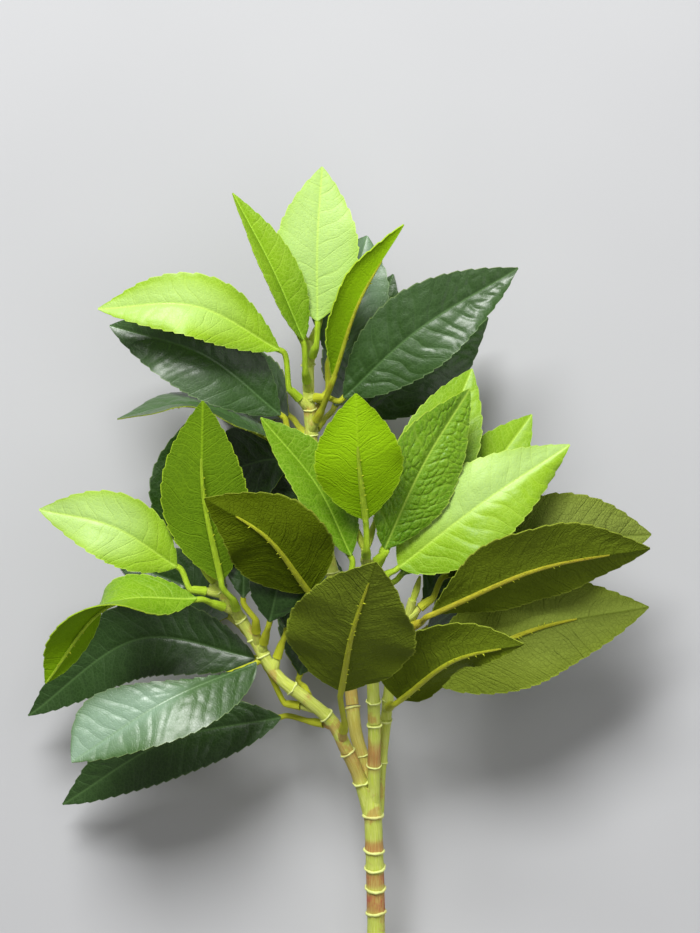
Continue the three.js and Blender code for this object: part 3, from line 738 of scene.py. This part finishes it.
# Form of the sheet. Columns crowd to the midrib by COLUMN_POWER. A tooth rises by TOOTH_POWER from
# TOOTH_BACK below the outline, is whole where the half blade is TOOTH_WHOLE wide, and fades inwards by
# TOOTH_FADE. The relief ends short of the blade's foot and tip, at FOOT_FLAT and TIP_FLAT
COLUMN_POWER = 1.1
TOOTH_POWER = 0.8
TOOTH_BACK = 0.6
TOOTH_WHOLE = 7
TOOTH_FADE = 5
FOLD_EASE = 0.4
FOOT_FLAT = 0.06
TIP_FLAT = 0.9
GROOVE_REACH = 0.75
MIDRIB_REACH = 0.9
OVERTURN = 90


def vein_phase(across, along):
    """Whole at each side vein, and half way between two of them at one half"""
    away = np.abs(across)
    root = along - away * VEIN_SLANT - away ** 2 * VEIN_BEND
    return root / VEIN_PITCH + 0.5 * (across > 0)


def wander(across, along, rng):
    """The place along the blade as the veins see it, so that they don't run evenly"""
    start = rng.uniform(0, 2 * np.pi, 3)
    away = np.abs(across)
    slow = 1.6 * np.sin(along / 5.2 + across / 7.5 + start[0])
    quick = 0.9 * np.sin(along / 2.6 - away / 2.4 + start[1])
    return along + (slow + quick + 1.2 * np.sin(across / 4.1 + along / 9 + start[2])) * ease(0, 9, away)


def swells(across, along, rng):
    """Broad shallow waves of the sheet, in millimetres"""
    start = rng.uniform(0, 2 * np.pi, 3)
    broad = np.sin(along / 8.5 + across / 6.0 + start[0])
    slanting = 0.8 * np.sin(along / 5.0 - across / 7.0 + start[1])
    long = 0.6 * np.sin(along / 13.0 + across / 3.6 + start[2])
    return (broad + slanting + long) / 2.4


def cushions(across, along, cells, rng):
    """1 on the cushions between side veins and the short veins across them, 0 in the creases. cells is
    the number of rows of cushions between two side veins"""
    phase = vein_phase(across, along)
    height = np.zeros_like(across)
    size = CELL_ACROSS / cells ** 0.4
    for hand in (-1, 1):
        mine = (across * hand) >= 0
        spots = []
        for row in range(CUSHION_ROWS[0] * cells, CUSHION_ROWS[1] * cells):
            reach = rng.uniform(0, size)
            while reach < WIDEST_HALF:
                stray = rng.uniform(-CUSHION_STRAY, CUSHION_STRAY)
                spots.append([reach, (row + 0.5 + stray) * VEIN_PITCH / cells])
                reach += size * rng.uniform(0.7, 1.4)
        spots = np.array(spots)
        here = np.stack([np.abs(across[mine]), phase[mine] * VEIN_PITCH], axis=-1)
        apart = np.linalg.norm(here[:, None] - spots[None], axis=-1)
        near = np.partition(apart, 1, axis=1)[:, :2]
        height[mine] = ease(0, CREASE_REACH / cells ** 0.6, near[:, 1] - near[:, 0])
    return height


def blade_surface(leaf, look, midrib, rng):
    """The middle of the sheet, with its way up, and its flat map in millimetres"""
    teeth = max(4, round(midrib.length / TOOTH_PITCH))
    steps = TOOTH_STEPS * look["cells"]
    place = np.linspace(0, 1, teeth * steps + 1)
    column = np.linspace(-1, 1, 2 * HALF_COLUMNS * look["cells"] + 1)
    share = np.sign(column) * np.abs(column) ** COLUMN_POWER
    half = half_width(leaf, place)
    saw = (np.arange(len(place)) % steps) / (steps - 1)
    jag = TOOTH_DEPTH * (saw ** TOOTH_POWER - TOOTH_BACK) * np.minimum(1, half / TOOTH_WHOLE)
    reach = np.where(share > 0, half_width(leaf, place, look["skew"])[:, None],
                     half_width(leaf, place, -look["skew"])[:, None] * look["left"])
    across = reach * share + jag[:, None] * np.sign(share) * np.abs(share) ** TOOTH_FADE
    centre, along, side, face = leaf_frame(leaf, midrib, place)
    slope = math.radians(leaf["fold"])
    lift = np.abs(across) * math.sin(slope) * (1 - FOLD_EASE * np.abs(share))
    travel = wander(across, (place * midrib.length)[:, None], rng)
    phase = vein_phase(across, travel)
    off_vein = np.abs((phase + 0.5) % 1 - 0.5) * VEIN_PITCH * 0.85
    away = np.abs(across)
    ends = (ease(0, FOOT_FLAT, place) * (1 - ease(TIP_FLAT, 1.0, place)))[:, None]
    flat_rim = (1 - np.abs(share) ** 6) * ends
    relief = look["quilt"] * cushions(across, travel, look["cells"], rng) * ease(0.8, 3.0, away) * flat_rim
    relief -= look["groove"] * np.exp(-(off_vein / GROOVE_REACH) ** 2) * ease(0.5, 2.5, away) * flat_rim
    relief -= MIDRIB_DIP * np.exp(-(away / MIDRIB_REACH) ** 2) * (1 - 0.6 * place[:, None]) * ends
    turns = look["waves"] * place[:, None] + rng.uniform(0, 1) + 0.35 * (share > 0)
    ripple = look["wave"] * half[:, None] * share ** 2 * np.sin(2 * np.pi * turns) * ends
    relief += look["swell"] * swells(across, travel, rng) * ease(1.0, 8.0, away) * ends
    curl = look["curl"] * half[:, None] * ease(0.35, 1.0, place[:, None]) * np.abs(share) ** 2.5
    curl = np.where(share > 0, curl, 0)
    across = across * (1 - 0.35 * np.clip(curl / half[:, None], 0, 1))
    level = lift + relief + ripple + curl * ends
    points = (centre[:, None] + side[:, None] * (across * math.cos(slope))[..., None]
              + face[:, None] * level[..., None])
    return points, face, across, travel, np.broadcast_to(np.abs(share), across.shape)


def blade_tone_with_painted_shade(look, across, rim):
    """Painted shade on the tone: deeper towards the base and the rim, which keeps the painted sheen in the
    middle, and on the hand that the one-sided shade's sign names, the half turned from the light
    """
    place = np.linspace(0, 1, len(across))[:, None]
    tone = look["tone"] * (1 - look["base"] * (1 - ease(0, 0.6, place))) * (1 - look["edge"] * rim ** 3)
    return tone * (1 - abs(look["painted_shade_hand"]) * ease(-0.1, 0.35, np.sign(across * look["painted_shade_hand"]) * rim))


def make_blade(leaf, look, midrib, rng):
    """One blade as a thin closed sheet, with its two printed faces"""
    points, face, across, travel, rim = blade_surface(leaf, look, midrib, rng)
    rows, columns = across.shape
    upper = points + face[:, None] * SHEET / 2
    lower = points - face[:, None] * SHEET / 2
    face_up = leaf["turn"] < OVERTURN
    upper[..., 2] = np.maximum(upper[..., 2], TABLE_CLEAR + (SHEET if face_up else 0))
    lower[..., 2] = np.maximum(lower[..., 2], TABLE_CLEAR + (0 if face_up else SHEET))
    index = np.arange(rows * columns).reshape(rows, columns)
    a, b = index[:-1, :-1].ravel(), index[:-1, 1:].ravel()
    c, d = index[1:, 1:].ravel(), index[1:, :-1].ravel()
    top = np.stack([a, b, c, d], axis=1)
    bottom = np.stack([a, d, c, b], axis=1) + rows * columns
    loop = np.concatenate([index[0, :-1], index[:-1, -1], index[-1, :0:-1], index[:0:-1, 0]])
    ahead = np.roll(loop, -1)
    rim_faces = np.stack([ahead, loop, loop + rows * columns, ahead + rows * columns], axis=1)
    faces = np.vstack([top, bottom, rim_faces])
    slots = np.concatenate([np.zeros(len(top), int), np.ones(len(bottom) + len(rim_faces), int)])
    flat = np.stack([across / UV_SPAN + 0.5, travel / UV_SPAN], axis=-1).reshape(-1, 2)
    piece = new_piece(
        f"blade_{leaf['name']}", np.vstack([upper.reshape(-1, 3), lower.reshape(-1, 3)]), faces.tolist(),
        [FACES[leaf["age"]]["under" if look["back"] else "upper"], FACES[leaf["age"]]["under"]],
        np.vstack([flat, flat]),
        {"rim": np.tile(rim.ravel(), 2), "tone": np.tile(blade_tone_with_painted_shade(look, across, rim).ravel(), 2)},
        BLADE_EDGE, slots)
    dress(piece, f"leaf_{leaf['age']}", f"leaf_{leaf['name']}")


def peg_of(leaf, stem, spray):
    """Where the leaf's peg leaves its stem, its direction, and where the sleeve's mouth is"""
    foot = stem.at(leaf["at"])
    along = stem.along(leaf["at"])
    reach = np.array(leaf["base"]) - foot
    out = unit(reach - along * (reach @ along))
    straight = math.degrees(math.acos(float(unit(reach) @ along)))
    angle = math.radians(min(max(straight, PEG_LEAN_LEAST), PEG_LEAN_MOST))
    aim = out * math.sin(angle) + along * math.cos(angle)
    radius = spray["root"] + (spray["tip"] - spray["root"]) * leaf["at"]
    start = (radius + RING_PROUD + GAP + SLEEVE_RADIUS * math.cos(angle)) / math.sin(angle)
    return foot, aim, start


# A stalk, in millimetres: its straight sleeve, its bend, and its seat under the foot of the blade
SLEEVE_STRAIGHT = 2.6
SLEEVE_BEND = 6.7
SEAT_DEPTH = 1.1
MOUTH_SIZES = [0.3, 1.35, 1.5, 1.85]
MOUTH_DEPTHS = [1.6, 1.6, 0.0, -0.12]
RIB_THIN = 0.25
RIB_DEEP = 0.7
RIB_STEP = 1.2
STALK_STEP = 0.8
BARB_FREE = 0.1
BARB_STRAY = 0.01
BARB_LOWEST = 3


def make_stalk(leaf, look, midrib, peg, barbs, rng):
    """The petiole's sleeve and neck, and the rib that runs on under the blade"""
    foot, aim, start = peg
    centre, along, side, face = leaf_frame(leaf, midrib, 0.0)
    seat = centre - face * SEAT_DEPTH
    stem_part = smooth_path([foot + aim * start, foot + aim * (start + SLEEVE_STRAIGHT),
                             foot + aim * (start + SLEEVE_DEPTH), foot + aim * (start + SLEEVE_BEND),
                             seat - along * 2.5, seat + along * 0.7])
    places = np.linspace(0.02, look["rib"], max(8, int(midrib.length * look["rib"] / RIB_STEP)))
    rib_centre, _, rib_side, rib_face = leaf_frame(leaf, midrib, places)
    fade = 1 - places / look["rib"]
    rib_high = RIB_THIN + RIB_DEEP * fade ** 0.6
    drop = rib_high + RIB_SINK + look["lift"] * (places / look["rib"]) ** 1.6
    rib = rib_centre - rib_face * drop[:, None]
    count = max(12, int(stem_part.length / STALK_STEP))
    neck = stem_part.at(np.linspace(0, 1, count))
    wide = np.concatenate([np.interp(stem_part.reach[-1] * np.linspace(0, 1, count),
                                     [0, 0.4, SLEEVE_DEPTH, 7.5, 10],
                                     [SLEEVE_RADIUS * 1.06, SLEEVE_RADIUS, SLEEVE_RADIUS * 0.86,
                                      NECK_RADIUS * 1.05, NECK_RADIUS]),
                           0.35 + 1.1 * fade ** 0.6])
    high = np.concatenate([wide[:count], rib_high])
    sleeve_in = np.array([foot + aim * (start + deep) for deep in MOUTH_DEPTHS])
    centres = np.vstack([sleeve_in, neck, rib])
    wide = np.concatenate([MOUTH_SIZES, wide])
    high = np.concatenate([MOUTH_SIZES, high])
    over = np.vstack([np.repeat(face[None], len(sleeve_in) + count, axis=0), rib_face])
    joined = Path(np.vstack([neck, rib]))
    run = np.vstack([np.repeat(aim[None], len(sleeve_in), axis=0), joined.slopes])
    tubes = Tubes()
    tubes.sweep(centres, wide, STALK_SIDES, high, over, tone=look["ochre"], run=run)
    piece = tubes.piece(f"stalk_{leaf['name']}", STALKS[leaf["age"]])
    dress(piece, "stem", f"leaf_{leaf['name']}")
    for spot in np.arange(BARB_FREE, look["rib"] - BARB_FREE, BARB_PITCH / midrib.length):
        here = spot + rng.uniform(-BARB_STRAY, BARB_STRAY)
        hand = rng.choice([-1, 1])
        row = int(np.argmin(np.abs(places - here)))
        root = rib[row] + rib_side[row] * hand * 0.6 - rib_face[row] * 0.2
        way = rib_side[row] * hand * 0.8 - rib_face[row] * 0.45 + joined.slopes[count + row] * 0.5
        if root[2] > BARB_LOWEST:
            barbs.append((root, unit(way), rng.uniform(0.5, 1.0)))


# Pieces that repeat along stems and ribs, by Geometry Nodes. The bead's radius is a share of its
# collar's, and the other sizes are in metres
COLLAR_SIZES = {"Ring Sides": 40, "Bead Sides": 10, "Bead Radius": 0.15, "Unevenness": 0.0011}
BARB_SIZES = {"Barb Sides": 6, "Point Radius": 0.00005, "Root Radius": 0.0004, "Barb Length": 0.0016,
              "Unevenness": 0.0001}


def repeat_tree(name, sizes, shape):
    """A tree that puts one shape on each point, along its axis value and scaled by its size value.
    shape puts the shape's nodes into the tree and gives its geometry"""
    tree = bpy.data.node_groups.new(name, "GeometryNodeTree")
    tree.interface.new_socket("Points", in_out="INPUT", socket_type="NodeSocketGeometry")
    keys = {}
    for label, value in sizes.items():
        kind = "NodeSocketInt" if isinstance(value, int) else "NodeSocketFloat"
        keys[label] = tree.interface.new_socket(label, in_out="INPUT", socket_type=kind).identifier
    keys["Finish"] = tree.interface.new_socket("Finish", in_out="INPUT",
                                               socket_type="NodeSocketMaterial").identifier
    tree.interface.new_socket("Geometry", in_out="OUTPUT", socket_type="NodeSocketGeometry")
    w = Wiring(tree)
    given = tree.nodes.new("NodeGroupInput")
    result = tree.nodes.new("NodeGroupOutput")
    axis = w.put("GeometryNodeInputNamedAttribute", {"Name": "axis"}, data_type="FLOAT_VECTOR")
    size = w.put("GeometryNodeInputNamedAttribute", {"Name": "size"}, data_type="FLOAT")
    turn = w.put("FunctionNodeAlignRotationToVector", {"Vector": axis.outputs[0]}, axis="Z")
    placed = w.put("GeometryNodeInstanceOnPoints",
                   {"Points": given.outputs["Points"], "Instance": shape(w, given),
                    "Rotation": turn.outputs[0], "Scale": size.outputs[0]})
    real = w.put("GeometryNodeRealizeInstances", {"Geometry": placed.outputs[0]})
    noise = w.put("ShaderNodeTexNoise", {"Scale": 420.0, "Detail": 1.0})
    centred = w.put("ShaderNodeVectorMath", {0: noise.outputs["Color"], 1: (0.5, 0.5, 0.5)},
                    operation="SUBTRACT")
    nudge = w.put("ShaderNodeVectorMath", {0: centred.outputs[0], "Scale": given.outputs["Unevenness"]},
                  operation="SCALE")
    uneven = w.put("GeometryNodeSetPosition", {"Geometry": real.outputs[0], "Offset": nudge.outputs[0]})
    smooth = w.put("GeometryNodeSetShadeSmooth", {"Geometry": uneven.outputs[0]})
    done = w.put("GeometryNodeSetMaterial", {"Geometry": smooth.outputs[0],
                                             "Material": given.outputs["Finish"]})
    tree.links.new(done.outputs[0], result.inputs[0])
    return tree, keys


def ring_shape(w, given):
    """A round bead bent into a ring of radius 1"""
    ring = w.put("GeometryNodeCurvePrimitiveCircle", {"Resolution": given.outputs["Ring Sides"],
                                                      "Radius": 1.0})
    bead = w.put("GeometryNodeCurvePrimitiveCircle", {"Resolution": given.outputs["Bead Sides"],
                                                      "Radius": given.outputs["Bead Radius"]})
    swept = w.put("GeometryNodeCurveToMesh", {"Curve": ring.outputs[0], "Profile Curve": bead.outputs[0]})
    return swept.outputs[0]


def barb_shape(w, given):
    """A slim pointed spur"""
    cone = w.put("GeometryNodeMeshCone", {"Vertices": given.outputs["Barb Sides"],
                                          "Radius Top": given.outputs["Point Radius"],
                                          "Radius Bottom": given.outputs["Root Radius"],
                                          "Depth": given.outputs["Barb Length"]})
    return cone.outputs[0]


def repeated_piece(name, spots, sizes, shape, finish):
    """One mesh of the shape at every spot. A spot is its place in layout millimetres, axis and size"""
    mesh = bpy.data.meshes.new(name)
    places = (np.array([spot[0] for spot in spots]) + SHIFT) * MILLIMETRE
    mesh.from_pydata(places.tolist(), [], [])
    axis = mesh.attributes.new("axis", "FLOAT_VECTOR", "POINT")
    axis.data.foreach_set("vector", np.array([spot[1] for spot in spots], dtype=np.float32).ravel())
    size = mesh.attributes.new("size", "FLOAT", "POINT")
    size.data.foreach_set("value", np.array([spot[2] for spot in spots], dtype=np.float32))
    piece = add_object(name, mesh)
    tree, keys = repeat_tree(f"{name} along paths", sizes, shape)
    modifier = piece.modifiers.new(name, "NODES")
    modifier.node_group = tree
    for label, value in sizes.items():
        modifier[keys[label]] = value
    modifier[keys["Finish"]] = finish
    evaluated = piece.evaluated_get(bpy.context.evaluated_depsgraph_get())
    made = bpy.data.meshes.new_from_object(evaluated)
    piece.modifiers.clear()
    piece.data = made
    dress(piece, "stem")


# Stems
# Reddish patches of the trunk: place along it, half length as a share, and strength
TRUNK_PATCHES = [(0.675, 0.036, 1.0), (0.74, 0.022, 0.9), (0.835, 0.02, 1.0), (0.3, 0.03, 0.6)]
STUB_PATCHES = {"front": (0.66, 0.14, 1.0), "left": (0.85, 0.3, 0.6), "top": (0.7, 0.3, 0.5),
                "right": (0.5, 0.1, 0.0)}
BROWN_STUBS = ("front_06", "left_06", "left_12")
BROWN_TONE = 0.7

# The stem's fine form, in millimetres: it swells at a ring and stands a little thicker above it
STATION_STEP = 0.7
RING_SWELL = 0.22
SWELL_REACH = 1.6
ABOVE_RING = 0.16
ABOVE_REACH = 3.5
STEM_WEAR = 0.1
COLLAR_LEAN = 0.13
COLLAR_PROUD = 0.1
BUD_TIP = 0.28
BUD_BELLY = 1.4
BUD_STATIONS = 22

# The stump that carries each peg: radii from inside the stem outwards, ending in the peg
STUMP_SIZES = [2.3, 2.2, 1.7, 1.45, PEG_RADIUS, PEG_RADIUS]

# Rings of a stub: where the stub swells, and where the collars sit
STUB_SWELLS = [0.55, 0.98]
STUB_RINGS = [0.55, 0.985]

# The trunk thins by FORK_TAPER from FORK_FROM on, where the stubs close round it
FORK_FROM = 0.93
FORK_TAPER = 0.26


def stem_stations(path, root, tip, rings, rng):
    """Centres and radii of a stem that thins to its tip and swells at each ring"""
    count = int(path.length / STATION_STEP)
    place = np.linspace(0, 1, count)
    radius = root + (tip - root) * place
    for ring in rings:
        from_ring = (place - ring) * path.length
        radius += RING_SWELL * np.exp(-(from_ring / SWELL_REACH) ** 2)
        above = ABOVE_RING * np.exp(-np.maximum(from_ring, 0) / ABOVE_REACH)
        radius += np.where(from_ring > 0, above, 0)
    radius += np.convolve(rng.normal(0, STEM_WEAR, count), np.ones(7) / 7, mode="same")
    return path.at(place), radius * ROUNDNESS


def reddening(count, spot, reach, share):
    """How red each station is around one patch"""
    return share * np.exp(-((np.linspace(0, 1, count) - spot) / reach) ** 4)


def add_collars(collars, path, root, tip, rings, rng):
    """A collar at each ring, a little askew"""
    for ring in rings:
        lean = unit(path.along(ring) + rng.uniform(-COLLAR_LEAN, COLLAR_LEAN, 3))
        radius = root + (tip - root) * ring + COLLAR_PROUD
        collars.append((path.at(ring), lean, radius * MILLIMETRE))


def make_stems():
    """The trunk with its stubs, the spray stems with their pegs and buds, and every collar"""
    rng = np.random.default_rng(STEM_SEED)
    collars = []
    trunk_path = smooth_path(TRUNK_PATH)
    trunk = Tubes()
    centres, radius = stem_stations(trunk_path, TRUNK_RADIUS, TRUNK_RADIUS, TRUNK_RINGS, rng)
    first_way = trunk_path.along(0.0)
    mouth = np.array([centres[0] + first_way * deep for deep in (4.0, 4.0, 0.0)])
    run = np.vstack([np.repeat(first_way[None], 3, axis=0), np.gradient(centres, axis=0)])
    radius *= 1 - FORK_TAPER * ease(FORK_FROM, 1, np.linspace(0, 1, len(centres)))
    red = sum(reddening(len(centres), *patch) for patch in TRUNK_PATCHES)
    trunk.sweep(np.vstack([mouth, centres]), np.concatenate([[0.2, WIRE_BORE, WIRE_BORE], radius]),
                TRUNK_SIDES, run=run, tone=np.concatenate([[0, 0, 0], red]))
    add_collars(collars, trunk_path, TRUNK_RADIUS, TRUNK_RADIUS, TRUNK_RINGS, rng)
    for spray_name, spray in SPRAYS.items():
        curve = smooth_path(spray["path"])
        stub = curve.stretch(0, spray["joint"])
        centres, radius = stem_stations(stub, spray["root"], spray["root"], STUB_SWELLS, rng)
        trunk.sweep(centres, radius, STEM_SIDES, tone=reddening(len(centres), *STUB_PATCHES[spray_name]))
        add_collars(collars, stub, spray["root"], spray["root"], STUB_RINGS, rng)
        stem = curve.stretch(spray["joint"] + GAP / curve.length, 1)
        tubes = Tubes()
        centres, radius = stem_stations(stem, spray["root"], spray["tip"], spray["rings"], rng)
        tubes.sweep(centres, radius, STEM_SIDES)
        add_collars(collars, stem, spray["root"], spray["tip"], spray["rings"], rng)
        for row in LEAVES[spray_name]:
            leaf = dict(zip(LEAF_COLUMNS, row))
            foot, aim, start = peg_of(leaf, stem, spray)
            radius_here = spray["root"] + (spray["tip"] - spray["root"]) * leaf["at"]
            reach = [0, radius_here * 0.9, start - 0.9, start - 0.5, start - 0.3, start + PEG_LENGTH]
            tubes.sweep([foot + aim * distance for distance in reach], STUMP_SIZES, PEG_SIDES,
                        tone=BROWN_TONE if leaf["name"] in BROWN_STUBS else 0.0)
        dress(tubes.piece(f"stem_{spray_name}", STEM), "stem", f"spray_{spray_name}")
        buds = Tubes()
        root = stem.at(1) - stem.along(1) * 2
        for tip in spray["buds"]:
            place = np.linspace(0, 1, BUD_STATIONS)
            belly = np.sin(np.pi * np.clip(place * 0.93 + 0.05, 0, 1)) ** 0.75
            swell = BUD_TIP + BUD_BELLY * belly * (1 - 0.25 * place)
            way = np.array(tip) - root
            bow = np.cross(unit(way), UP) * rng.uniform(-0.8, 0.8)
            centres = root + way * place[:, None] + bow * np.sin(np.pi * place)[:, None]
            buds.sweep(centres, swell, BUD_SIDES, swell * 0.8)
        dress(buds.piece(f"bud_{spray_name}", BUD), "stem", f"spray_{spray_name}")
    dress(trunk.piece("trunk", STEM), "stem", "stem_main")
    repeated_piece("collars", collars, COLLAR_SIZES, ring_shape, COLLAR)
    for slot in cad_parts["stem_wire"].material_slots:
        slot.material = WIRE


def make_leaves():
    """Every blade with its stalk and rib, and the barbs of all ribs"""
    barbs = []
    for spray_name, spray in SPRAYS.items():
        curve = smooth_path(spray["path"])
        stem = curve.stretch(spray["joint"] + GAP / curve.length, 1)
        for number, row in enumerate(LEAVES[spray_name]):
            leaf = dict(zip(LEAF_COLUMNS, row))
            look = {**PLAIN_LOOK[leaf["age"]], **LOOKS.get(leaf["name"], {})}
            rng = np.random.default_rng(SEEDS_A_SPRAY * list(SPRAYS).index(spray_name) + number)
            midrib = midrib_of(leaf)
            make_blade(leaf, look, midrib, rng)
            make_stalk(leaf, look, midrib, peg_of(leaf, stem, spray), barbs, rng)
    repeated_piece("barbs", barbs, BARB_SIZES, barb_shape, STALKS["old"])


# The table, the light and the camera
def make_table():
    """A plain pale table under the branch"""
    material, w, shader = new_material("pale table")
    point = w.put("ShaderNodeTexCoord").outputs["Object"]
    drift = use_group(w, DRIFT, {"Point": point, "Size": 300.0})
    w.join(w.blend(drift["Drift"], colour(0.46, 0.465, 0.475), colour(0.49, 0.495, 0.505)),
                     shader.inputs["Base Color"])
    shader.inputs["Roughness"].default_value = 0.8
    mesh = bpy.data.meshes.new("table")
    reach = 3.0
    mesh.from_pydata([(-reach, -reach, 0), (reach, -reach, 0), (reach, reach, 0), (-reach, reach, 0)], [],
                     [(0, 1, 2, 3)])
    mesh.materials.append(material)
    add_object("table", mesh)


def aim_at(thing, place, target):
    """Puts the thing in its place, looking at the target"""
    way = np.array(target) - np.array(place)
    thing.location = place
    thing.rotation_euler = Vector(way).to_track_quat("-Z", "Y").to_euler()


def soft_light(name, place, power, width):
    """A square soft light"""
    lamp = bpy.data.lights.new(name, "AREA")
    lamp.energy = power
    lamp.size = width
    aim_at(add_object(name, lamp), place, LIT_PLACE)


def make_light():
    """Soft light from above the leafy head, with a weaker fill"""
    for light in LIGHTS:
        soft_light(**light)
    bpy.context.scene.view_settings.view_transform = "Standard"
    world = bpy.data.worlds.new("room")
    world.use_nodes = True
    world.node_tree.nodes["Background"].inputs[0].default_value = (1.0, 0.98, 0.95, 1.0)
    world.node_tree.nodes["Background"].inputs[1].default_value = ROOM_GLOW
    bpy.context.scene.world = world


def make_camera():
    """Straight above, where the photographed outline and the solids line up"""
    lens = bpy.data.cameras.new("camera")
    lens.lens = LENS_LENGTH
    lens.sensor_width = SENSOR_WIDTH
    camera = add_object("camera", lens)
    camera.location = (CAMERA_PLACE + SHIFT) * MILLIMETRE
    bpy.context.scene.camera = camera


make_camera()
make_leaves()
make_stems()
make_table()
make_light()
